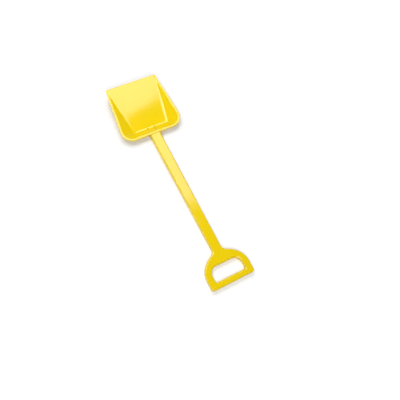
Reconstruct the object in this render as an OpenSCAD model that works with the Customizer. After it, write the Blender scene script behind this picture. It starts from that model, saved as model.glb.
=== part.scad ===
// Long-handled sand shovel for children: a pan blade, a channel shaft and a D-shaped grip.
// It lies on its back with the pan opening upwards, the grip at -Y and the blade's front edge at +Y.
// The origin is on the ground, halfway along the shovel.

/* [Overall] */
// Length from the end of the grip to the front edge of the blade
total_l = 540; // [480:1:640]
// Radius of the upper edges of shaft and grip
edge_r = 3.6; // [2.5:0.1:4.2]

/* [Blade] */
// Length of the blade from the back of its rim to its front edge
blade_l = 144; // [132:1:156]
// Width along the front edge
front_w = 131; // [120:1:142]
// Width over the rim at its widest place
rim_w = 154; // [148:1:166]
// Radius of the rim's rear corners
rim_corner_r = 28; // [20:1:34]
// Radius of the front corners
front_corner_r = 3.5; // [2:0.5:6]
// Height of the rim's top at the back
rim_h = 17.4; // [17:0.2:24]
// Height of the front edge, which sets the tilt of the floor
front_lift = 33; // [26:1:40]
// Length of the floor from its rear crease to the front edge
floor_l = 121; // [110:1:122]
// Width of the floor at its rear crease
floor_rear_w = 86; // [78:1:96]
// Width of the floor at its front end
floor_front_w = 124; // [112:1:126]
// Outward bow of the floor's side creases
floor_bow = 1; // [0:0.5:4]
// Radius of the floor's corners
floor_corner_r = 4; // [2:0.5:8]
// Reach of the fillet between floor and wall
crease_r = 6; // [3:0.5:7]
// Distance of the heel's lower edge behind the crease above it
heel_out = 0.6; // [0.3:0.1:1.2]
// Thickness of the moulded sheet
sheet_t = 2.6; // [2:0.1:3.2]
// Width of the bead along the rim
bead_w = 6; // [4.5:0.1:7]
// Height of the bead's outer side
bead_h = 4.6; // [3.6:0.1:6]
// Height of the bead's rounded crown
bead_crown = 0.9; // [0.5:0.1:1.6]
// Distance from the front edge in which the bead grows to its full size
bead_run = 90; // [60:1:100]
// Width of the bevel along the front edge
bevel_w = 8; // [5:0.5:11]
// Thickness of the front edge
edge_t = 1.4; // [1:0.1:1.8]
// Width of the front edge's flat land
edge_land = 1.5; // [0.8:0.1:2.5]
// Height of the rounding on the front edge
edge_crown = 0.3; // [0.1:0.1:0.6]
// Thickness of the two gussets inside the pan, in line with the sides of the shaft
gusset_t = 2; // [1.2:0.1:3]
// Widening of a gusset on each side where it meets the wall
gusset_draft = 0.6; // [0.2:0.1:1]
// Distance of the gussets' upper ends below the bead
gusset_drop = 1.5; // [0.5:0.1:4]

/* [Shaft] */
// Width of the shaft at the grip
shaft_w_grip = 23.2; // [21:0.2:26]
// Width of the shaft at the blade
shaft_w_blade = 25.2; // [23:0.2:28]
// Height of the shaft at the blade
shaft_h_blade = 15.6; // [14:0.2:15.8]
// Thickness of the shaft's side walls
shaft_wall = 2.6; // [2:0.1:3.2]
// Thickness of the shaft's top wall
shaft_top_t = 2.8; // [2:0.1:3.6]
// Radius of the hollow corners inside the shaft
shaft_hollow_r = 1; // [0.5:0.1:1.5]
// Distance between the cross ribs under the shaft
rib_pitch = 36; // [24:1:60]
// Thickness of the ribs under shaft and grip
rib_t = 2; // [1.4:0.1:3]
// Distance of the ribs' lower edges above the ground
rib_lift = 3; // [1:0.5:5]

/* [Grip] */
// Width of the grip
grip_w = 106.5; // [98:0.5:118]
// Height of the grip, and of the shaft where they meet
grip_h = 13.2; // [11.6:0.2:15]
// Length of the grip's straight sides
grip_side_l = 26; // [22:1:32]
// Radius of the corners at the end of the grip
grip_corner_r = 6; // [4.5:0.5:10]
// Radius of the grip's shoulders
shoulder_r = 45; // [38:1:52]
// Angle through which the shoulders turn
shoulder_turn = 42; // [36:1:50]
// Radius of the crown between shoulder and neck
crown_r = 60; // [54:1:72]
// Radius of the hollow between crown and neck
neck_fillet_r = 13.5; // [8:0.5:16]
// Straight length of the neck up to its joint with the shaft
neck_l = 6; // [4.5:0.5:14]
// Width of the bar that the hand closes around
bar_w = 14.3; // [11.5:0.1:18]
// Width of the hand hole
hole_w = 75; // [68:0.5:80]
// Length of the hand hole
hole_l = 33; // [31:0.1:36]
// Radius of the hole's corners at the bar
hole_low_r = 4; // [2:0.5:8]
// Radius of the hole's corners at the shaft
hole_high_r = 17; // [12:0.5:19]
// Thickness of the grip's side walls
grip_wall = 2.6; // [2:0.1:3.2]
// Thickness of the grip's top wall
grip_top_t = 2.8; // [2:0.1:3.6]
// Distance between the ribs under the bar
bar_rib_pitch = 15; // [10:1:20]
// Number of ribs under the arch
arch_ribs = 6; // [4:1:8]
// Angle of the lowest ribs of the arch above the bar
arch_rib_from = 12; // [6:1:20]

/* [Plug joints] */
// Length of the tongues that plug into the ends of the shaft
tongue_l = 42; // [30:1:60]
// Thickness of the tongues' walls and of the plates that carry them
tongue_t = 2.4; // [1.8:0.1:3]
// Distance of the tongues' lower edges above the ground
tongue_lift = 1.5; // [0.5:0.5:3]
// Bevel along the upper edges and at the tip of a tongue
tongue_bevel = 1.5; // [1.2:0.1:2]
// Clearance between a tongue and the channel around it
joint_gap = 0.15; // [0.1:0.05:0.4]
// Height of the snap barbs on the tongues' sides
barb_h = 0.7; // [0.4:0.1:1]
// Length of a snap barb
barb_l = 7; // [5:0.5:10]
// Length of a barb's steep locking face
barb_catch = 0.8; // [0.4:0.1:1.5]
// Width of a snap barb
barb_w = 4; // [3:0.5:5]
// Distance of the barbs from the tip of the tongue
barb_setback = 8; // [5:0.5:14]
// Length of the blade's stub behind its rim
stub_l = 6; // [5:0.5:12]
// Radius of the hollows between rim and stub
stub_fillet_r = 4; // [2:0.5:5]

/* [Hidden] */
plastic_yellow = [0.96, 0.80, 0.07];
// Length by which pieces of one moulding run into each other, and cuts run out of it
sink = 1;

// Lists of points: arcs, soft bends and straight runs
function mix(a, b, t) = a*(1 - t) + b*t;
function unit(v) = v/norm(v);
function on_circle(c, r, a) = [c.x + r*cos(a), c.y + r*sin(a)];
function arc(c, r, a0, a1, n) = [for (i = [0:n]) on_circle(c, r, mix(a0, a1, i/n))];
function bend(a, corner, b, n) = [for (i = [0:n]) let (t = i/n) mix(mix(a, corner, t), mix(corner, b, t), t)];
function rest(pts) = [for (i = [1:len(pts) - 1]) pts[i]];
function mirrored(pts) = [for (p = pts) [-p.x, p.y]];
function reversed(pts) = [for (i = [len(pts) - 1:-1:0]) pts[i]];
// Closed outline from its right half, which runs upwards
function both_sides(half) = concat(half, reversed(mirrored(half)));

function middle(pts) = [for (p = pts) 1]*pts/len(pts);

// Solid through a stack of closed rings with equal numbers of points, closed by a fan at each end.
// Seen from the last ring, each ring runs counter-clockwise.
module through_rings(rings) {
    n = len(rings[0]);
    last = len(rings) - 1;
    first_mid = n*len(rings);
    points = concat([for (ring = rings) each ring], [middle(rings[0]), middle(rings[last])]);
    faces = [for (i = [0:n - 1]) let (j = (i + 1)%n) each concat(
        [for (k = [0:last - 1]) each [[k*n + i, k*n + i + n, k*n + j + n], [k*n + i, k*n + j + n, k*n + j]]],
        [[first_mid, i, j], [first_mid + 1, last*n + j, last*n + i]])];
    polyhedron(points, faces, convexity = 8);
}

// Drawings in the XZ plane pushed along Y, and drawings in the YZ plane pushed along X
module along_y(from, to) {
    translate([0, to, 0]) rotate([90, 0, 0]) linear_extrude(to - from) children();
}
module along_x(from, to) {
    translate([from, 0, 0]) rotate([90, 0, 90]) linear_extrude(to - from) children();
}

// Places along the shovel
y_end = -total_l/2;
y_front = total_l/2;
y_rim = y_front - blade_l;
y_crease = y_front - floor_l;
y_bevel = y_front - bevel_w;
stub_end = y_rim - stub_l;

// Outline of the grip, measured from its end
shoulder_c = [grip_w/2 - shoulder_r, grip_side_l];
crown_c = shoulder_c - (crown_r - shoulder_r)*[cos(shoulder_turn), sin(shoulder_turn)];
neck_x = shaft_w_grip/2 + neck_fillet_r;
neck_c = [neck_x, crown_c.y + sqrt(pow(crown_r + neck_fillet_r, 2) - pow(neck_x - crown_c.x, 2))];
crown_end = atan2(neck_c.y - crown_c.y, neck_c.x - crown_c.x);
grip_l = neck_c.y + neck_l;
function grip_outline(inset) = both_sides(concat(
    arc([grip_w/2 - grip_corner_r, grip_corner_r], grip_corner_r - inset, -90, 0, 6),
    arc(shoulder_c, shoulder_r - inset, 0, shoulder_turn, 10),
    rest(arc(crown_c, crown_r - inset, shoulder_turn, crown_end, 8)),
    rest(arc(neck_c, neck_fillet_r + inset, crown_end + 180, 180, 10)),
    [[shaft_w_grip/2 - inset, grip_l + sink]]));
function hole_outline(growth) = both_sides(concat(
    arc([hole_w/2 - hole_low_r, bar_w + hole_low_r], hole_low_r + growth, -90, 0, 6),
    arc([hole_w/2 - hole_high_r, bar_w + hole_l - hole_high_r], hole_high_r + growth, 0, 90, 14)));
// Heights and insets that round an upper edge
function rounded_edge(h, r) = [for (a = [0:15:90]) [h - r + r*sin(a), r*(1 - cos(a))]];

// Section of the shaft at a share of the way from the grip to the blade
neck_y = y_end + grip_l;
shaft_l = stub_end - neck_y;
function shaft_w(t) = mix(shaft_w_grip, shaft_w_blade, t);
function shaft_h(t) = mix(grip_h, shaft_h_blade, t*t);
function arch(w, foot, h, r) = both_sides(concat([[w/2, foot]], arc([w/2 - r, h - r], r, 0, 90, 6)));
function shaft_outside(t) = arch(shaft_w(t), 0, shaft_h(t), edge_r);
function shaft_inside(t) =
    arch(shaft_w(t) - 2*shaft_wall, -sink, shaft_h(t) - shaft_top_t, shaft_hollow_r);

// Tongue with snap barbs, from a plate at its root along +Y; the barbs alone, grown, cut their own pockets
tongue_share = tongue_l/shaft_l;
function tongue_w(t0, t1) = min(shaft_w(t0), shaft_w(t1)) - 2*(shaft_wall + joint_gap);
function tongue_top(t0, t1) = min(shaft_h(t0), shaft_h(t1)) - shaft_top_t - joint_gap;
module barbs(w, top, growth) {
    y_tip = tongue_l - barb_setback;
    y_root = y_tip - barb_l;
    z_mid = (tongue_lift + top)/2;
    half = both_sides([
        [w/2 - sink, y_root - growth],
        [w/2 + growth, y_root - growth],
        [w/2 + barb_h + growth, y_root + barb_catch - growth],
        [w/2 + growth, y_tip + growth],
        [w/2 - sink, y_tip + growth]]);
    translate([0, 0, z_mid - barb_w/2 - growth]) linear_extrude(barb_w + 2*growth) polygon(half);
}
module tongue(w, top) {
    difference() {
        intersection() {
            along_y(-sink, tongue_l) polygon(both_sides([
                [w/2, tongue_lift], [w/2, top - tongue_bevel], [w/2 - tongue_bevel, top]]));
            linear_extrude(top) polygon(both_sides([
                [w/2, -sink], [w/2, tongue_l - tongue_bevel], [w/2 - tongue_bevel, tongue_l]]));
        }
        translate([tongue_t - w/2, 0, 0]) cube([w - 2*tongue_t, tongue_l - tongue_t, top - tongue_t]);
    }
    difference() {
        barbs(w, top, 0);
        translate([tongue_t - w/2, 0, 0]) cube([w - 2*tongue_t, tongue_l - tongue_t, top]);
    }
}
module grip_tongue_place() { translate([0, neck_y, 0]) children(); }
module blade_tongue_place() { translate([0, stub_end, 0]) mirror([0, 1, 0]) children(); }
grip_tongue_w = tongue_w(0, tongue_share);
grip_tongue_top = tongue_top(0, tongue_share);
blade_tongue_w = tongue_w(1, 1 - tongue_share);
blade_tongue_top = tongue_top(1, 1 - tongue_share);

// Levels of the blade: its flat underside, its floor and the top of its rim
floor_slope = (front_lift - edge_t)/(floor_l + heel_out);
sheet_rise = sheet_t*norm([1, floor_slope]);
function under_z(y) = (y - y_crease + heel_out)*floor_slope;
function floor_z(y) = under_z(y) + sheet_rise;
function rim_z(y) = mix(rim_h, front_lift, (y - y_rim)/blade_l);

// Stations around the right half of the pan, from the middle of the front edge to the middle of the back.
// Each has a place on the rim and the rim's outward angle there, a place on the floor's crease,
// and whether it is on a gusset.
front_steps = 4;
front_corner_steps = 5;
side_steps = 14;
rear_corner_steps = 16;
function station(rim, angle, crease, gusset = false) = [rim, angle, crease, gusset];
front_c = [front_w/2 - front_corner_r, y_front - front_corner_r];
rear_c = [rim_w/2 - rim_corner_r, y_rim + rim_corner_r];
side_axis = front_c - rear_c;
side_angle = atan2(side_axis.y, side_axis.x) - acos((rim_corner_r - front_corner_r)/norm(side_axis));
rim_side_from = on_circle(front_c, front_corner_r, side_angle);
rim_side_to = on_circle(rear_c, rim_corner_r, side_angle);
floor_front = [floor_front_w/2, y_bevel];
floor_rear = [floor_rear_w/2, y_crease];
floor_side = unit(floor_rear - floor_front)*floor_corner_r;
floor_inset = [floor_corner_r, 0];
floor_front_corner =
    bend(floor_front - floor_inset, floor_front, floor_front + floor_side, front_corner_steps);
floor_rear_corner =
    bend(floor_rear - floor_side, floor_rear, floor_rear - floor_inset, rear_corner_steps);
gusset_x = shaft_w_blade/2 - edge_r;
gusset_foot = gusset_t/2 + gusset_draft;
rear_mid_x = (gusset_x + floor_rear.x - floor_corner_r)/2;
rear_run = [[rear_mid_x, false], [gusset_x + gusset_foot, false], [gusset_x + gusset_t/2, true],
    [gusset_x - gusset_t/2, true], [gusset_x - gusset_foot, false], [0, false]];
stations = concat(
    [for (i = [0:front_steps - 1]) let (t = i/front_steps)
        station([front_c.x*t, y_front], 90, [floor_front_corner[0].x*t, y_bevel])],
    [for (i = [0:front_corner_steps]) let (a = mix(90, side_angle, i/front_corner_steps))
        station(on_circle(front_c, front_corner_r, a), a, floor_front_corner[i])],
    [for (i = [1:side_steps - 1]) let (t = i/side_steps)
        station(mix(rim_side_from, rim_side_to, t), side_angle,
            mix(floor_front + floor_side, floor_rear - floor_side, t) + [4*floor_bow*t*(1 - t), 0])],
    [for (i = [0:rear_corner_steps]) let (a = mix(side_angle, -90, i/rear_corner_steps))
        station(on_circle(rear_c, rim_corner_r, a), a, floor_rear_corner[i])],
    [for (place = rear_run) station([place[0], y_rim], -90, [place[0], y_crease], place[1])]);

// Section of the pan at a station: from its heel over the rim's bead and down the wall to the floor.
// A gusset runs straight down from the wall to the floor, where the fillet ends elsewhere.
bead_steps = 6;
crease_steps = 4;
crease_share = 0.25;
function at_z(p, z) = [p.x, p.y, z];
function pan_section(place) = let (
    edge = place[0],
    outward = [cos(place[1]), sin(place[1])],
    crease = place[2],
    grown = sqrt(min(max((y_front - edge.y)/bead_run, 0), 1)),
    width = mix(edge_land, bead_w, grown),
    crown = mix(edge_crown, bead_crown, grown),
    bead_foot = rim_z(edge.y) - crown,
    lip = at_z(edge - outward*width, bead_foot),
    corner = at_z(crease, floor_z(crease.y)),
    wall = unit(lip - corner),
    across = unit([wall.x, wall.y]),
    reach = min(crease_r, crease_share*norm(lip - corner)),
    inner = crease - across*reach,
    toe = at_z(inner, floor_z(inner.y)),
    heel = crease + across*heel_out,
    edge_drop = edge_t - edge_crown + edge_land*floor_slope,
    wall_drop = sheet_t/norm([wall.x, wall.y]),
    gusset_top = mix(lip, corner, gusset_drop/(lip.z - corner.z)))
    concat(
        [at_z(heel, under_z(heel.y)), at_z(lip, lip.z - mix(edge_drop, wall_drop, grown))],
        [at_z(edge, rim_z(edge.y) - mix(edge_t, bead_h, grown))],
        [for (i = [bead_steps:-1:1]) let (a = 180*i/bead_steps)
            at_z(edge - outward*width*(1 + cos(a))/2, bead_foot + crown*sin(a))],
        [lip],
        place[3] ? [for (i = [0:crease_steps]) mix(gusset_top, toe, i/crease_steps)]
            : bend(corner + wall*reach, corner, toe, crease_steps));

module pan() {
    right = [for (place = stations) pan_section(place)];
    left = [for (i = [1:len(right) - 2]) [for (p = right[i]) [-p.x, p.y, p.z]]];
    around = concat(reversed(right), left);
    through_rings([for (m = [0:len(right[0]) - 1]) [for (section = around) section[m]]]);
}

// Middle of the rear wall in side view, at the crease and below the bead
rear_section = pan_section(stations[len(stations) - 1]);
rear_lip = rear_section[3 + bead_steps];
wall_foot = [y_crease, floor_z(y_crease) - sheet_rise/2];
wall_top = [rear_lip.y, (rear_lip.z + rear_section[1].z)/2];

// Side view of the space behind the pan's rear wall, up to the middle of the wall
module behind_rear_wall() {
    along_x(-rim_w/2, rim_w/2) polygon([
        [stub_end, 0], [y_crease - heel_out, 0], wall_foot, wall_top,
        [y_rim + bead_w/2, shaft_h_blade], [stub_end, shaft_h_blade]]);
}

// Stub that carries the shaft: the shaft's own section, run on to the rear wall
module stub() {
    difference() {
        intersection() {
            along_y(stub_end, y_crease) polygon(shaft_outside(1));
            behind_rear_wall();
        }
        along_y(stub_end + tongue_t, y_crease + sink) polygon(shaft_inside(1));
    }
    z_from = rim_h - bead_h;
    z_to = shaft_h_blade - edge_r/2;
    corner_c = [shaft_w_blade/2 + stub_fillet_r, y_rim - stub_fillet_r];
    translate([0, 0, z_from]) linear_extrude(z_to - z_from)
        for (side = [0, 1]) mirror([side, 0]) polygon(concat(
            [[shaft_w_blade/2 - sink, y_rim - stub_fillet_r]],
            arc(corner_c, stub_fillet_r, 180, 90, 8),
            [[corner_c.x, y_rim + sink], [shaft_w_blade/2 - sink, y_rim + sink]]));
}

module blade() {
    color(plastic_yellow) {
        pan();
        stub();
        blade_tongue_place() tongue(blade_tongue_w, blade_tongue_top);
    }
}

// Solid along the shaft through an outline that changes on the way, run past both ends
shaft_steps = 16;
module shaft_loft(outline, past) {
    through_rings([for (k = [shaft_steps:-1:0]) let (y = mix(-past, shaft_l + past, k/shaft_steps))
        [for (p = outline(y/shaft_l)) [p.x, neck_y + y, p.y]]]);
}
module shaft() {
    free_l = shaft_l - 2*tongue_l;
    ribs = floor(free_l/rib_pitch);
    color(plastic_yellow) {
        difference() {
            shaft_loft(function (t) shaft_outside(t), 0);
            shaft_loft(function (t) shaft_inside(t), sink);
            grip_tongue_place() barbs(grip_tongue_w, grip_tongue_top, joint_gap);
            blade_tongue_place() barbs(blade_tongue_w, blade_tongue_top, joint_gap);
        }
        for (i = [0:ribs - 1]) {
            along = tongue_l + free_l/2 + (i - (ribs - 1)/2)*rib_pitch;
            w = shaft_w(along/shaft_l) - shaft_wall;
            h = shaft_h(along/shaft_l) - shaft_top_t/2;
            translate([-w/2, neck_y + along - rib_t/2, rib_lift]) cube([w, rib_t, h - rib_lift]);
        }
    }
}

// Drawing of the hollow under the grip, with its walls left standing
module grip_hollow(wall) {
    difference() {
        polygon(grip_outline(wall));
        polygon(hole_outline(wall));
        translate([-grip_w/2, grip_l - tongue_t]) square([grip_w, tongue_t + 2*sink]);
    }
}
module grip_ribs() {
    hole_mid = bar_w + hole_l/2;
    bar_ribs = floor(hole_w/bar_rib_pitch/2);
    for (i = [-bar_ribs:bar_ribs]) translate([i*bar_rib_pitch - rib_t/2, 0]) square([rib_t, bar_w]);
    for (i = [0:arch_ribs - 1])
        translate([0, hole_mid]) rotate(mix(arch_rib_from, 180 - arch_rib_from, i/(arch_ribs - 1)))
            translate([0, -rib_t/2]) square([grip_w, rib_t]);
}
module grip() {
    hollow_h = grip_h - grip_top_t;
    edge = rounded_edge(grip_h, edge_r);
    body = concat([[0, 0]], edge);
    opening = concat([[-sink, 0]], edge, [[grip_h + sink, edge_r]]);
    color(plastic_yellow) translate([0, y_end, 0]) {
        difference() {
            through_rings([for (e = body) [for (p = grip_outline(e[1])) at_z(p, e[0])]]);
            through_rings([for (e = opening) [for (p = hole_outline(e[1])) at_z(p, e[0])]]);
            translate([-grip_w/2, grip_l, -sink]) cube([grip_w, 2*sink, grip_h + 2*sink]);
            translate([0, 0, -sink]) linear_extrude(hollow_h + sink) grip_hollow(grip_wall);
        }
        translate([0, 0, rib_lift]) linear_extrude(grip_h - grip_top_t/2 - rib_lift) intersection() {
            grip_hollow(grip_wall/2);
            grip_ribs();
        }
    }
    color(plastic_yellow) grip_tongue_place() tongue(grip_tongue_w, grip_tongue_top);
}

blade();
shaft();
grip();
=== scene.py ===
"""Looks of a long-handled sand shovel: finer meshes over its solids, moulded plastic and studio light."""
import math

import bmesh
import bpy
import numpy as np
from mathutils import Matrix, Vector

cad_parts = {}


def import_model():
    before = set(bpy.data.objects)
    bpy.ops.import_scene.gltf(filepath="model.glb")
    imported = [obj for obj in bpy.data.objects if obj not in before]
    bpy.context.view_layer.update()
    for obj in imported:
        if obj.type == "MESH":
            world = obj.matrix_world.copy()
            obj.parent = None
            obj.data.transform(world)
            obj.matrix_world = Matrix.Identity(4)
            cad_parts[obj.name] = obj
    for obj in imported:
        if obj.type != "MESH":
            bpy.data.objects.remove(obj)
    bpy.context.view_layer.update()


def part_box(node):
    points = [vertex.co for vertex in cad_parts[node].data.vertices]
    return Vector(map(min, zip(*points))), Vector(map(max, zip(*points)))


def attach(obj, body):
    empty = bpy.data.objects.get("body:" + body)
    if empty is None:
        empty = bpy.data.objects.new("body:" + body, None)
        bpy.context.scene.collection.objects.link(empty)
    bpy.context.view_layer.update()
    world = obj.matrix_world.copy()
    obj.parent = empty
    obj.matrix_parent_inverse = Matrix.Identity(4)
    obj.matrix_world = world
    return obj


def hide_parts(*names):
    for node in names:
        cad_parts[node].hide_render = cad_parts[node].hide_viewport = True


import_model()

# Sizes are in millimetres until a piece is finished
MM = 0.001

# Main sizes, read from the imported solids
blade_low, blade_high = (corner/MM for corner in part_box("blade"))
shaft_low, shaft_high = (corner/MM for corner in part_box("shaft"))
grip_low, grip_high = (corner/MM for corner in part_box("grip"))
y_end = grip_low.y
y_front = blade_high.y
neck_y = shaft_low.y
stub_end = shaft_high.y
shaft_l = stub_end - neck_y
grip_l = neck_y - y_end
tongue_l = grip_high.y - neck_y
rim_w = blade_high.x - blade_low.x
front_lift = blade_high.z
grip_w = grip_high.x - grip_low.x
grip_h = grip_high.z
shaft_w_blade = shaft_high.x - shaft_low.x
shaft_h_blade = shaft_high.z

# Sizes of the blade
blade_l = 144
front_w = 131
rim_corner_r = 28
front_corner_r = 3.5
rim_h = 17.4
floor_l = 121
floor_rear_w = 86
floor_front_w = 124
floor_bow = 1
floor_corner_r = 4
floor_crown = 1
crease_r = 6
heel_out = 0.6
sheet_t = 2.6
bead_w = 6
bead_h = 4.6
bead_crown = 0.9
bead_flatness = 0.6
bead_run = 90
bevel_w = 8
edge_t = 1.4
edge_land = 1.5
edge_crown = 0.3
gusset_t = 2
gusset_draft = 0.6
gusset_drop = 1.5

# Sizes of the shaft, the grip and their plug joints
edge_r = 3.6
shaft_w_grip = 23.2
shaft_wall = 2.6
shaft_top_t = 2.8
shaft_hollow_r = 1
rib_pitch = 36
rib_t = 2
rib_lift = 3
grip_side_l = 26
grip_corner_r = 6
shoulder_r = 45
shoulder_turn = 42
crown_r = 60
neck_fillet_r = 13.5
bar_w = 14.3
hole_w = 75
hole_l = 33
hole_low_r = 4
hole_high_r = 17
grip_wall = 2.6
grip_top_t = 2.8
bar_rib_pitch = 15
arch_ribs = 6
arch_rib_from = 12
tongue_t = 2.4
tongue_lift = 1.5
tongue_bevel = 1.5
joint_gap = 0.15
barb_h = 0.7
barb_l = 7
barb_catch = 0.8
barb_w = 4
barb_setback = 8
stub_fillet_r = 4

# Fine roundings that a mould leaves on every edge
foot_r = 0.5
seam_r = 0.2
heel_soft = 0.5
lip_soft = 1.2
bead_soft = 0.7
grip_hollow_r = 1
grip_space_r = 0.1

# Fineness of the meshes, and how far solids reach into each other before they are joined or cut
bead_points = 15
crease_steps = 8
crown_rings = 14
crown_reach = 0.95
shaft_rings = 33
stub_lift = 0.2
sink = 1
weld = 0.002
sharp_angle = 38

y_rim = y_front - blade_l
y_crease = y_front - floor_l
y_bevel = y_front - bevel_w


# Lines of points

def mix(a, b, t):
    return a*(1 - t) + b*t


def unit(v):
    return v/np.linalg.norm(v)


def smooth_step(t):
    t = min(max(t, 0), 1)
    return t*t*(3 - 2*t)


def arc(centre, radius, start, end, steps):
    angles = np.radians(np.linspace(start, end, steps + 1))
    return np.array(centre) + radius*np.stack([np.cos(angles), np.sin(angles)], 1)


def bend(a, corner, b, steps):
    return np.array([mix(mix(a, corner, t), mix(corner, b, t), t) for t in np.linspace(0, 1, steps + 1)])


def softened(points, reaches, steps=4):
    """The line through the points, each inner corner bent over its reach along both sides."""
    line = [points[0]]
    for before, corner, after, reach in zip(points, points[1:], points[2:], reaches):
        back, on = before - corner, after - corner
        start = corner + back*min(reach/np.linalg.norm(back), 0.45)
        end = corner + on*min(reach/np.linalg.norm(on), 0.45)
        line.extend(bend(start, corner, end, steps))
    return np.array(line + [points[-1]])


def both_sides(half):
    """A closed outline from its right half, which runs upwards."""
    half = np.array(half, float)
    return np.concatenate([half, half[::-1]*[-1, 1]])


def at_z(points, z):
    points = np.array(points)
    return np.concatenate([points, np.full((len(points), 1), z)], 1)


def at_y(points, y):
    return np.array([[x, y, z] for x, z in points])


# Solids

def made(name, verts, faces):
    mesh = bpy.data.meshes.new(name)
    mesh.from_pydata(np.array(verts).tolist(), [], faces)
    shape = bmesh.new()
    shape.from_mesh(mesh)
    bmesh.ops.recalc_face_normals(shape, faces=shape.faces)
    shape.to_mesh(mesh)
    shape.free()
    piece = bpy.data.objects.new(name, mesh)
    bpy.context.scene.collection.objects.link(piece)
    return piece


def loft(name, rings):
    """A solid through a stack of closed rings with equal numbers of points, closed by a fan at each end."""
    rings = [np.array(ring) for ring in rings]
    n = len(rings[0])
    last = (len(rings) - 1)*n
    mids = [rings[0].mean(0), rings[-1].mean(0)]
    faces = []
    for i in range(n):
        j = (i + 1) % n
        faces += [(k + i, k + j, k + n + j, k + n + i) for k in range(0, last, n)]
        faces += [(last + n, j, i), (last + n + 1, last + i, last + j)]
    return made(name, np.concatenate(rings + [mids]), faces)


def block(name, low, high):
    (x0, y0, z0), (x1, y1, z1) = low, high
    base = [(x0, y0), (x1, y0), (x1, y1), (x0, y1)]
    return loft(name, [at_z(base, z0), at_z(base, z1)])


def prism(name, outline, z0, z1):
    return loft(name, [at_z(outline, z0), at_z(outline, z1)])


def combined(piece, operation, *tools):
    """The piece with the tools joined to it, cut from it or met with it. The tools are used up."""
    for tool in tools:
        step = piece.modifiers.new(operation, "BOOLEAN")
        step.operation = operation
        step.solver = "MANIFOLD"
        step.object = tool
    graph = bpy.context.evaluated_depsgraph_get()
    result = bpy.data.meshes.new_from_object(piece.evaluated_get(graph))
    piece.modifiers.clear()
    piece.data = result
    for tool in tools:
        bpy.data.objects.remove(tool)
    return piece


# Tongues with snap barbs, along +Y from a plate at their root

def shaft_w(t):
    return mix(shaft_w_grip, shaft_w_blade, t)


def shaft_h(t):
    return mix(grip_h, shaft_h_blade, t*t)


def tongue_size(t0, t1):
    w = min(shaft_w(t0), shaft_w(t1)) - 2*(shaft_wall + joint_gap)
    return w, min(shaft_h(t0), shaft_h(t1)) - shaft_top_t - joint_gap


tongue_share = tongue_l/shaft_l
GRIP_TONGUE = tongue_size(0, tongue_share)
BLADE_TONGUE = tongue_size(1, 1 - tongue_share)


def placed(piece, y, turned):
    """Moves a tongue's solid to its root; a turned one points along -Y."""
    if turned:
        piece.data.transform(Matrix.Rotation(math.pi, 4, "Z"))
    piece.data.transform(Matrix.Translation((0, y, 0)))
    return piece


def barbs(name, w, top, growth=0):
    y_tip = tongue_l - barb_setback
    y_root = y_tip - barb_l
    z_mid = (tongue_lift + top)/2
    outline = both_sides([
        (w/2 - sink, y_root - growth),
        (w/2 + growth, y_root - growth),
        (w/2 + barb_h + growth, y_root + barb_catch - growth),
        (w/2 + growth, y_tip + growth),
        (w/2 - sink, y_tip + growth)])
    return prism(name, outline, z_mid - barb_w/2 - growth, z_mid + barb_w/2 + growth)


def tongue(name, w, top):
    def section(half):
        return both_sides([(half, tongue_lift), (half, top - tongue_bevel), (half - tongue_bevel, top)])
    places = [(-sink, w/2), (tongue_l - tongue_bevel, w/2), (tongue_l, w/2 - tongue_bevel)]
    piece = loft(name, [at_y(section(half), y) for y, half in places])
    combined(piece, "UNION", barbs("barbs", w, top))
    low = (tongue_t - w/2, 0, -sink)
    high = (w/2 - tongue_t, tongue_l - tongue_t, top - tongue_t)
    hollow = block("hollow", low, high)
    return combined(piece, "DIFFERENCE", hollow)


# Blade: a pan through sections around its rim, a stub with the shaft's section, and a tongue

floor_slope = (front_lift - edge_t)/(floor_l + heel_out)
sheet_rise = sheet_t*math.hypot(1, floor_slope)


def under_z(y):
    return (y - y_crease + heel_out)*floor_slope


def floor_z(y):
    return under_z(y) + sheet_rise


def rim_z(y):
    return mix(rim_h, front_lift, (y - y_rim)/blade_l)


def flatter(share):
    """Turns a round profile into one with a flatter top."""
    return math.copysign(abs(share)**bead_flatness, share)


def lifted(p, z):
    return np.array([p[0], p[1], z])


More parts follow.
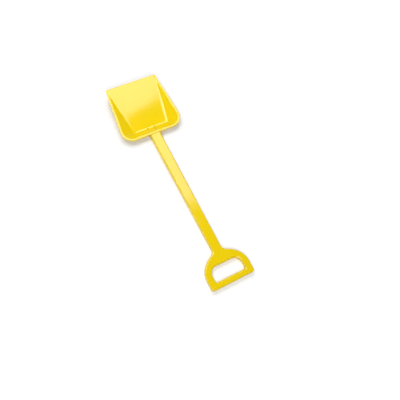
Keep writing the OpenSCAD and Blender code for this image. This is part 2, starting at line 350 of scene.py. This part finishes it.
def pan_section(rim, angle, crease, gusset):
    """Points from the sole over heel, bead and wall to the floor, at one place on the rim."""
    rim, crease = np.array(rim), np.array(crease)
    outward = np.array([math.cos(math.radians(angle)), math.sin(math.radians(angle))])
    grown = math.sqrt(min(max((y_front - rim[1])/bead_run, 0), 1))
    width = mix(edge_land, bead_w, grown)
    crown = mix(edge_crown, bead_crown, grown)
    bead_foot = rim_z(rim[1]) - crown
    lip = lifted(rim - outward*width, bead_foot)
    corner = lifted(crease, floor_z(crease[1]))
    wall = unit(lip - corner)
    across = unit(wall[:2])
    reach = min(crease_r, np.linalg.norm(lip - corner)/4)
    inner = crease - across*reach
    toe = lifted(inner, floor_z(inner[1]))
    heel = crease + across*heel_out
    sole = heel - across*2*heel_out
    edge_drop = edge_t - edge_crown + edge_land*floor_slope
    wall_drop = sheet_t/np.linalg.norm(wall[:2])
    outside = [
        lifted(sole, under_z(sole[1])),
        lifted(heel, under_z(heel[1])),
        lifted(lip, lip[2] - mix(edge_drop, wall_drop, grown)),
        lifted(rim, rim_z(rim[1]) - mix(edge_t, bead_h, grown)),
        lifted(rim, bead_foot)]
    over = [lifted(rim - outward*width*(1 - flatter(math.cos(a)))/2, bead_foot + crown*flatter(math.sin(a)))
            for a in np.linspace(0, math.pi, bead_points)]
    gusset_top = mix(lip, corner, gusset_drop/(lip[2] - corner[2]))
    plain = bend(corner + wall*reach, corner, toe, crease_steps)
    straight = np.array([mix(gusset_top, toe, i/crease_steps) for i in range(crease_steps + 1)])
    inside = softened([over[-2], lip, corner + wall*reach], [crown/2])
    return np.concatenate([
        softened(outside, [heel_soft, lip_soft, bead_soft]),
        over[1:-1],
        inside[1:-1],
        mix(plain, straight, gusset)])


def pan_stations():
    """Places around the right half of the rim, from mid-front to mid-back."""
    front_c = np.array([front_w/2 - front_corner_r, y_front - front_corner_r])
    rear_c = np.array([rim_w/2 - rim_corner_r, y_rim + rim_corner_r])
    dx, dy = front_c - rear_c
    lean = math.acos((rim_corner_r - front_corner_r)/math.hypot(dx, dy))
    side_angle = math.degrees(math.atan2(dy, dx) - lean)
    front_steps, corner_steps, side_steps, rear_steps, run_steps = 12, 8, 40, 32, 10
    front_arc = arc(front_c, front_corner_r, 90, side_angle, corner_steps)
    rear_arc = arc(rear_c, rim_corner_r, side_angle, -90, rear_steps)
    floor_front = np.array([floor_front_w/2, y_bevel])
    floor_rear = np.array([floor_rear_w/2, y_crease])
    side = unit(floor_rear - floor_front)*floor_corner_r
    inset = np.array([floor_corner_r, 0])
    front_bend = bend(floor_front - inset, floor_front, floor_front + side, corner_steps)
    rear_bend = bend(floor_rear - side, floor_rear, floor_rear - inset, rear_steps)
    places = []
    for t in np.linspace(0, 1, front_steps, endpoint=False):
        places.append(((front_c[0]*t, y_front), 90, (front_bend[0][0]*t, y_bevel), 0))
    for i, a in enumerate(np.linspace(90, side_angle, corner_steps + 1)):
        places.append((front_arc[i], a, front_bend[i], 0))
    for t in np.linspace(0, 1, side_steps + 1)[1:-1]:
        bow = np.array([4*floor_bow*t*(1 - t), 0])
        crease = mix(floor_front + side, floor_rear - side, t) + bow
        places.append((mix(front_arc[-1], rear_arc[0], t), side_angle, crease, 0))
    for i, a in enumerate(np.linspace(side_angle, -90, rear_steps + 1)):
        places.append((rear_arc[i], a, rear_bend[i], 0))
    gusset_x = shaft_w_blade/2 - edge_r
    half, foot = gusset_t/2, gusset_t/2 + gusset_draft
    run_x = (gusset_x + rear_bend[-1][0])/2
    for t in np.linspace(0, 1, run_steps + 1)[1:]:
        rim = (mix(rear_c[0], run_x, t), y_rim)
        crease = (mix(rear_bend[-1][0], run_x, t), y_crease)
        places.append((rim, -90, crease, 0))
    flank = np.linspace(foot, half, 7)
    across = [*np.linspace(run_x - gusset_x, foot, 6)[1:-1], *flank, 0, *-flank[::-1]]
    for x in [gusset_x + d for d in across] + [gusset_x/3, 0]:
        share = smooth_step((foot - abs(x - gusset_x))/gusset_draft)
        places.append(((x, y_rim), -90, (x, y_crease), share))
    return places


def crowned(ring):
    """Rings from the floor's closed edge towards its middle, which rises in a slight crown."""
    mid = (ring.min(0) + ring.max(0))/2
    half_l = (ring[:, 1].max() - ring[:, 1].min())/2
    rings = []
    for t in np.linspace(0, crown_reach, crown_rings)[1:]:
        inner = mix(ring, mid, t)
        along = (inner[:, 1] - mid[1])/half_l
        half_w = mix(floor_rear_w, floor_front_w, (along + 1)/2)/2 - crease_r
        rise = floor_crown*(1 - along**2)*np.clip(1 - (inner[:, 0]/half_w)**2, 0, 1)
        inner[:, 2] += rise
        rings.append(inner)
    return rings


def pan():
    right = np.array([pan_section(*place) for place in pan_stations()])
    left = right[1:-1]*[-1, 1, 1]
    around = np.concatenate([right[::-1], left])
    rings = list(around.transpose(1, 0, 2))
    return loft("blade_skin", crowned(rings[0])[::-1] + rings + crowned(rings[-1]))


def shaft_outline(t, inset=0):
    """Outer section of the shaft, with rounded upper edges and feet."""
    w, h = shaft_w(t), shaft_h(t)
    foot = arc((w/2 - foot_r, foot_r), foot_r - inset, -90, 0, 3)
    top = arc((w/2 - edge_r, h - edge_r), edge_r - inset, 0, 90, 10)
    return both_sides(np.concatenate([foot, top]))


def shaft_hollow(t):
    """Inner section of the shaft, a little wider at its foot."""
    w, h = shaft_w(t) - 2*shaft_wall, shaft_h(t) - shaft_top_t
    foot = arc((w/2 + foot_r, foot_r), foot_r, 270, 180, 3)
    top = arc((w/2 - shaft_hollow_r, h - shaft_hollow_r), shaft_hollow_r, 0, 90, 5)
    return both_sides(np.concatenate([[(w/2 + foot_r, -sink)], foot, top]))


def stub():
    """The shaft's section run on to the middle of the pan's rear wall, closed by a plate at the joint."""
    middle = pan_section((0, y_rim), -90, (0, y_crease), 0)
    lip = max(middle, key=lambda p: p[2])
    wall_foot = (y_crease, floor_z(y_crease) - sheet_rise/2)
    wall_top = (lip[1] + bead_w/2, rim_h - bead_crown - sheet_t/2)
    side = [
        (stub_end, -sink),
        (y_crease - heel_out, -sink),
        (y_crease - heel_out, stub_lift),
        wall_foot,
        wall_top,
        (y_rim + bead_w/2, shaft_h_blade + sink),
        (stub_end, shaft_h_blade + sink)]
    behind = loft("behind", [np.array([[x, y, z] for y, z in side]) for x in (-rim_w/2, rim_w/2)])
    piece = loft("stub", [at_y(shaft_outline(1, seam_r), stub_end),
                          at_y(shaft_outline(1), stub_end + seam_r),
                          at_y(shaft_outline(1), y_crease)])
    combined(piece, "INTERSECT", behind)
    hollow = loft("hollow", [at_y(shaft_hollow(1), y) for y in (stub_end + tongue_t, y_crease + sink)])
    combined(piece, "DIFFERENCE", hollow)
    return piece


def stub_fillet(side):
    """Rounded corner between the rim and one side of the stub."""
    centre = (shaft_w_blade/2 + stub_fillet_r, y_rim - stub_fillet_r)
    root = shaft_w_blade/2 - sink
    outline = np.concatenate([
        [(root, y_rim - stub_fillet_r)],
        arc(centre, stub_fillet_r, 180, 90, 10),
        [(centre[0], y_rim + sink), (root, y_rim + sink)]])
    return prism("stub_fillet", outline*[side, 1], rim_h - bead_h, shaft_h_blade - edge_r/2)


def blade():
    piece = pan()
    plug = placed(tongue("tongue", *BLADE_TONGUE), stub_end, turned=True)
    return combined(piece, "UNION", stub(), stub_fillet(1), stub_fillet(-1), plug)


# Shaft: a channel that is open underneath, with cross ribs and pockets for the barbs

def shaft():
    ends = [(0, seam_r), (seam_r, 0)]
    along = ends + [(y, 0) for y in np.linspace(0, shaft_l, shaft_rings)[1:-1]]
    along += [(shaft_l - y, inset) for y, inset in ends[::-1]]
    piece = loft("shaft_skin", [at_y(shaft_outline(y/shaft_l, inset), neck_y + y) for y, inset in along])
    inner = loft("hollow", [at_y(shaft_hollow(y/shaft_l), neck_y + y)
                            for y in np.linspace(-sink, shaft_l + sink, shaft_rings)])
    pockets = [placed(barbs("pocket", *GRIP_TONGUE, joint_gap), neck_y, turned=False),
               placed(barbs("pocket", *BLADE_TONGUE, joint_gap), stub_end, turned=True)]
    combined(piece, "DIFFERENCE", inner, *pockets)
    free_l = shaft_l - 2*tongue_l
    count = math.floor(free_l/rib_pitch)
    ribs = []
    for i in range(count):
        y = tongue_l + free_l/2 + (i - (count - 1)/2)*rib_pitch
        w = shaft_w(y/shaft_l) - shaft_wall
        h = shaft_h(y/shaft_l) - shaft_top_t/2
        ribs.append(block("rib", (-w/2, neck_y + y - rib_t/2, rib_lift), (w/2, neck_y + y + rib_t/2, h)))
    return combined(piece, "UNION", *ribs)


# Grip: a D with a hand hole, hollow and ribbed underneath

def grip_outline(inset):
    shoulder_c = np.array([grip_w/2 - shoulder_r, grip_side_l])
    turn = math.radians(shoulder_turn)
    crown_c = shoulder_c - (crown_r - shoulder_r)*np.array([math.cos(turn), math.sin(turn)])
    neck_x = shaft_w_grip/2 + neck_fillet_r
    neck_rise = math.sqrt((crown_r + neck_fillet_r)**2 - (neck_x - crown_c[0])**2)
    neck_c = np.array([neck_x, crown_c[1] + neck_rise])
    crown_end = math.degrees(math.atan2(neck_c[1] - crown_c[1], neck_c[0] - crown_c[0]))
    return both_sides(np.concatenate([
        arc((grip_w/2 - grip_corner_r, grip_corner_r), grip_corner_r - inset, -90, 0, 12),
        arc(shoulder_c, shoulder_r - inset, 0, shoulder_turn, 24),
        arc(crown_c, crown_r - inset, shoulder_turn, crown_end, 20)[1:],
        arc(neck_c, neck_fillet_r + inset, crown_end + 180, 180, 20)[1:],
        [(shaft_w_grip/2 - inset, grip_l + sink)]]))


def hole_outline(growth):
    return both_sides(np.concatenate([
        arc((hole_w/2 - hole_low_r, bar_w + hole_low_r), hole_low_r + growth, -90, 0, 12),
        arc((hole_w/2 - hole_high_r, bar_w + hole_l - hole_high_r), hole_high_r + growth, 0, 90, 28)]))


def rounded(z, r, start, end, steps):
    """Heights and insets along a rounded edge; z is the level where the edge leaves the upright wall."""
    angles = np.radians(np.linspace(start, end, steps + 1))
    return [(z + r*math.sin(a), r*(1 - math.cos(a))) for a in angles]


def stacked(name, outline, levels):
    return loft(name, [at_z(outline(inset), z) for z, inset in levels])


def grip_hollow(name, wall, z0, z1, corner):
    """The space between the grip's walls, open towards the neck up to the joint's plate."""
    edge = rounded(z1 - corner, corner, 0, 90, 4)
    piece = stacked(name, lambda inset: grip_outline(wall + inset), [(z0, 0)] + edge)
    through = [(z0 - sink, 0)] + edge + [(z1 + sink, corner)]
    core = stacked("core", lambda inset: hole_outline(wall + inset), through)
    low = (-grip_w/2, grip_l - tongue_t, z0 - sink)
    high = (grip_w/2, grip_l + 2*sink, z1 + sink)
    plate = block("plate", low, high)
    return combined(piece, "DIFFERENCE", core, plate)


def grip_ribs():
    z0, z1 = rib_lift, grip_h - grip_top_t/2
    bar_ribs = math.floor(hole_w/bar_rib_pitch/2)
    hole_mid = bar_w + hole_l/2
    ribs = [block("rib", (i*bar_rib_pitch - rib_t/2, 0, z0), (i*bar_rib_pitch + rib_t/2, bar_w, z1))
            for i in range(-bar_ribs, bar_ribs + 1)]
    for i in range(arch_ribs):
        rib = block("rib", (bar_w, -rib_t/2, z0), (grip_w, rib_t/2, z1))
        angle = math.radians(mix(arch_rib_from, 180 - arch_rib_from, i/(arch_ribs - 1)))
        rib.data.transform(Matrix.Translation((0, hole_mid, 0)) @ Matrix.Rotation(angle, 4, "Z"))
        ribs.append(rib)
    for rib in ribs:
        combined(rib, "INTERSECT", grip_hollow("space", grip_wall/2, z0 - sink, z1 + sink, grip_space_r))
    return ribs


def grip():
    foot = rounded(foot_r, foot_r, -90, 0, 3)
    edge = rounded(grip_h - edge_r, edge_r, 0, 90, 10)
    piece = stacked("grip_skin", grip_outline, foot + edge)
    opening = [(-sink, foot_r)] + foot + edge + [(grip_h + sink, edge_r)]
    hole = stacked("hole", hole_outline, opening)
    joint = block("joint", (-grip_w/2, grip_l, -sink), (grip_w/2, grip_l + 2*sink, grip_h + sink))
    hollow = grip_hollow("hollow", grip_wall, -sink, grip_h - grip_top_t, grip_hollow_r)
    combined(piece, "DIFFERENCE", hole, joint, hollow)
    combined(piece, "UNION", *grip_ribs())
    plug = placed(tongue("tongue", *GRIP_TONGUE), grip_l, turned=False)
    combined(piece, "UNION", plug)
    piece.data.transform(Matrix.Translation((0, y_end, 0)))
    return piece


# Node trees of the materials and of the world

class Nodes:
    """A fresh node tree, with short ways to add what is used here."""

    def __init__(self, owner):
        owner.use_nodes = True
        self.tree = owner.node_tree
        self.tree.nodes.clear()

    def add(self, kind, **settings):
        node = self.tree.nodes.new("ShaderNode" + kind)
        for name, value in settings.items():
            setattr(node, name, value)
        return node

    def feed(self, socket, value):
        """Links an output to the socket, or sets the socket to a plain value."""
        if isinstance(value, bpy.types.NodeSocket):
            self.tree.links.new(value, socket)
        else:
            socket.default_value = value

    def math(self, operation, a, b):
        node = self.add("Math", operation=operation)
        self.feed(node.inputs[0], a)
        self.feed(node.inputs[1], b)
        return node.outputs[0]

    def vector_math(self, operation, a, b):
        node = self.add("VectorMath", operation=operation)
        self.feed(node.inputs[0], a)
        self.feed(node.inputs[1], b)
        return node.outputs["Value" if operation == "DOT_PRODUCT" else "Vector"]

    def ramp(self, value, low, high, start=0, end=1):
        """Brings a value from start..end to low..high and holds it there."""
        node = self.add("MapRange")
        for socket, number in zip(node.inputs[1:5], (start, end, low, high)):
            socket.default_value = number
        self.feed(node.inputs["Value"], value)
        return node.outputs["Result"]

    def blend(self, share, a, b):
        node = self.add("Mix", data_type="RGBA")
        self.feed(node.inputs["Factor"], share)
        self.feed(node.inputs["A"], a)
        self.feed(node.inputs["B"], b)
        return node.outputs["Result"]

    def noise(self, place, scale, detail, stretch=(1, 1, 1)):
        mapping = self.add("Mapping")
        mapping.inputs["Scale"].default_value = stretch
        self.feed(mapping.inputs["Vector"], place)
        node = self.add("TexNoise")
        node.inputs["Scale"].default_value = scale
        node.inputs["Detail"].default_value = detail
        self.feed(node.inputs["Vector"], mapping.outputs["Vector"])
        return node.outputs["Fac"]

    def mirrored(self, seen):
        """1 for rays that come by way of gloss or glass."""
        return self.math("MAXIMUM", seen.outputs["Is Glossy Ray"], seen.outputs["Is Transmission Ray"])


# Moulded plastic: slow colour flow, fine mottling, a satin sheen with faint scratches, and rubbed edges

YELLOW_DEEP = (0.85, 0.604, 0.001, 1)
YELLOW_LIGHT = (0.92, 0.68, 0.0064, 1)
YELLOW_RUBBED = (0.935, 0.785, 0.14, 1)
RUBBED_REACH = 0.002
PLASTIC_IOR = 1.58


def moulded_plastic():
    material = bpy.data.materials.new("moulded_plastic")
    nodes = Nodes(material)
    output = nodes.add("OutputMaterial")
    shader = nodes.add("BsdfPrincipled")
    shader.inputs["IOR"].default_value = PLASTIC_IOR
    nodes.feed(output.inputs["Surface"], shader.outputs["BSDF"])
    place = nodes.add("TexCoord").outputs["Object"]

    flow = nodes.ramp(nodes.noise(place, 18, 3, (1, 0.4, 1)), 0, 0.75)
    mottle = nodes.ramp(nodes.noise(place, 260, 2), 0, 0.25)
    yellow = nodes.blend(nodes.math("ADD", flow, mottle), YELLOW_DEEP, YELLOW_LIGHT)

    soft_edge = nodes.add("Bevel", samples=6)
    soft_edge.inputs["Radius"].default_value = RUBBED_REACH
    surface = nodes.add("NewGeometry")
    turn = nodes.vector_math("DOT_PRODUCT", soft_edge.outputs["Normal"], surface.outputs["Normal"])
    edge = nodes.ramp(turn, 1, 0, 0.8, 0.975)
    rubbed = nodes.math("MULTIPLY", edge, nodes.ramp(nodes.noise(place, 110, 4), 0, 1, 0.34, 0.62))
    nodes.feed(shader.inputs["Base Color"], nodes.blend(nodes.ramp(rubbed, 0, 0.5), yellow, YELLOW_RUBBED))

    along = nodes.ramp(nodes.noise(place, 50, 2, (34, 1, 34)), 0, 1, 0.62, 0.72)
    across = nodes.ramp(nodes.noise(place, 50, 2, (1, 34, 34)), 0, 1, 0.66, 0.76)
    patches = nodes.ramp(nodes.noise(place, 14, 2), 0.1, 1, 0.4, 0.62)
    scratches = nodes.math("MULTIPLY", nodes.math("MAXIMUM", along, across), patches)
    satin = nodes.ramp(nodes.noise(place, 60, 4), 0.07, 0.15)
    scratched = nodes.math("ADD", satin, nodes.ramp(scratches, 0, 0.16))
    nodes.feed(shader.inputs["Roughness"], nodes.math("ADD", scratched, nodes.ramp(rubbed, 0, 0.18)))

    peel = nodes.add("Bump")
    peel.inputs["Strength"].default_value = 0.12
    peel.inputs["Distance"].default_value = 0.0002
    nodes.feed(peel.inputs["Height"], nodes.noise(place, 700, 2))
    grooves = nodes.add("Bump", invert=True)
    grooves.inputs["Strength"].default_value = 0.16
    grooves.inputs["Distance"].default_value = 0.00005
    nodes.feed(grooves.inputs["Height"], scratches)
    nodes.feed(grooves.inputs["Normal"], peel.outputs["Normal"])
    nodes.feed(shader.inputs["Normal"], grooves.outputs["Normal"])
    return material


def finished(piece, name, material):
    """Brings a piece to metres, gives it clean smooth shading and its finish, and hangs it on the frame."""
    piece.name = f"{name}_skin"
    piece.data.name = piece.name
    shape = bmesh.new()
    shape.from_mesh(piece.data)
    bmesh.ops.remove_doubles(shape, verts=shape.verts, dist=weld)
    bmesh.ops.dissolve_degenerate(shape, edges=shape.edges, dist=weld)
    shape.to_mesh(piece.data)
    shape.free()
    piece.data.transform(Matrix.Scale(MM, 4))
    piece.data.shade_smooth()
    piece.data.set_sharp_from_angle(angle=math.radians(sharp_angle))
    normals = piece.modifiers.new("normals", "WEIGHTED_NORMAL")
    normals.keep_sharp = True
    piece.data.materials.clear()
    piece.data.materials.append(material)
    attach(piece, "root")
    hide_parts(name)
    return piece


plastic = moulded_plastic()
for name, make in {"blade": blade, "shaft": shaft, "grip": grip}.items():
    finished(make(), name, plastic)


# Studio: a pale floor, a softbox beyond the blade with a bright spot on its left, a fill near the grip

FLOOR_SIZE = 14
FLOOR_COLOUR = (0.86, 0.87, 0.9, 1)
GLOW_COLOUR = (0.96, 0.96, 1, 1)
GLOW_FULL = 0.929
# Centre, reach and level of the light that the softbox and the fill leave on the floor
LIT_SPOTS = (
    ((-0.014, 0.559, 0), 1.33, 0.795),
    ((-0.312, -0.554, 0), 1.069, 0.491),
)
SKY_COLOUR = (1, 1, 1, 1)
SKY_LIGHT = 0.168
HORIZON_TOP = 0.33
OVERHEAD = 0.02
SOFTBOX_TURN = 9.5


def floor():
    """Keeps the object's shadow, and glows, for the eye alone, where the lamps leave it short of white."""
    bpy.ops.mesh.primitive_plane_add(size=FLOOR_SIZE)
    ground = bpy.context.object
    ground.name = "floor"
    material = bpy.data.materials.new("pale_floor")
    nodes = Nodes(material)
    matte = nodes.add("BsdfDiffuse")
    matte.inputs["Color"].default_value = FLOOR_COLOUR
    glow = nodes.add("Emission")
    glow.inputs["Color"].default_value = GLOW_COLOUR
    seen = nodes.add("LightPath")
    place = nodes.add("TexCoord").outputs["Object"]
    top_up = GLOW_FULL
    for centre, reach, level in LIT_SPOTS:
        away = nodes.vector_math("SUBTRACT", place, centre)
        squared = nodes.vector_math("DOT_PRODUCT", away, away)
        spread = nodes.math("ADD", nodes.math("DIVIDE", squared, reach**2), 1)
        lit = nodes.math("DIVIDE", level, nodes.math("MULTIPLY", spread, spread))
        top_up = nodes.math("SUBTRACT", top_up, lit)
    top_up = nodes.math("MAXIMUM", top_up, 0)
    shown = nodes.math("MAXIMUM", seen.outputs["Is Camera Ray"], nodes.mirrored(seen))
    nodes.feed(glow.inputs["Strength"], nodes.math("MULTIPLY", shown, top_up))
    both = nodes.add("AddShader")
    nodes.feed(both.inputs[0], matte.outputs[0])
    nodes.feed(both.inputs[1], glow.outputs[0])
    nodes.feed(nodes.add("OutputMaterial").inputs["Surface"], both.outputs[0])
    ground.data.materials.append(material)


def lamp(name, place, target, size, power):
    data = bpy.data.lights.new(name, "AREA")
    data.shape = "RECTANGLE"
    data.size, data.size_y = size
    data.energy = power
    light = bpy.data.objects.new(name, data)
    light.location = place
    light.rotation_mode = "QUATERNION"
    light.rotation_quaternion = (Vector(target) - Vector(place)).to_track_quat("-Z", "Y")
    bpy.context.scene.collection.objects.link(light)
    return light


def world():
    """White for the eye, a bright horizon for reflections, and a weak even light."""
    scene_world = bpy.data.worlds.new("studio")
    bpy.context.scene.world = scene_world
    nodes = Nodes(scene_world)
    sky = nodes.add("Background")
    sky.inputs["Color"].default_value = SKY_COLOUR
    seen = nodes.add("LightPath")
    direction = nodes.add("SeparateXYZ")
    nodes.feed(direction.inputs[0], nodes.add("TexCoord").outputs["Generated"])
    backdrop = nodes.ramp(direction.outputs["Z"], 1, OVERHEAD, 0, HORIZON_TOP)
    reflected = nodes.math("MULTIPLY", nodes.mirrored(seen), backdrop)
    even = nodes.math("MULTIPLY", seen.outputs["Is Diffuse Ray"], SKY_LIGHT)
    level = nodes.math("MAXIMUM", nodes.math("MAXIMUM", reflected, even), seen.outputs["Is Camera Ray"])
    nodes.feed(sky.inputs["Strength"], level)
    nodes.feed(nodes.add("OutputWorld").inputs["Surface"], sky.outputs[0])


def camera():
    place = Vector((-0.2731, -0.3541, 0.9516))
    target = Vector((0.0229, -0.0674, 0))
    roll = math.radians(28.56)
    forward = (target - place).normalized()
    upright = (Vector((0, 1, 0)) - forward*forward.y).normalized()
    across = forward.cross(upright)
    up = upright*math.cos(roll) + across*math.sin(roll)
    right = forward.cross(up)
    data = bpy.data.cameras.new("camera")
    data.sensor_width = 36
    data.lens = 40.15
    data.clip_start = 0.01
    eye = bpy.data.objects.new("camera", data)
    turn = Matrix((right, up, -forward)).transposed()
    eye.matrix_world = Matrix.Translation(place) @ turn.to_4x4()
    bpy.context.scene.collection.objects.link(eye)
    bpy.context.scene.camera = eye


floor()
world()
camera()
softbox = lamp("softbox", place=(0.02, 0.615, 1.04), target=(0.02, 0.615, 0), size=(1.05, 0.85), power=10)
softbox.rotation_mode = "XYZ"
softbox.rotation_euler = (0, 0, math.radians(SOFTBOX_TURN))
lamp("fill", place=(-0.38, -0.62, 1.05), target=(0, -0.2, 0), size=(0.8, 0.6), power=8.3)
lamp("glint", place=(-0.24, 0.4, 1.03), target=(-0.24, 0.4, 0), size=(0.34, 0.3), power=0.75)
bpy.context.scene.view_settings.view_transform = "Standard"
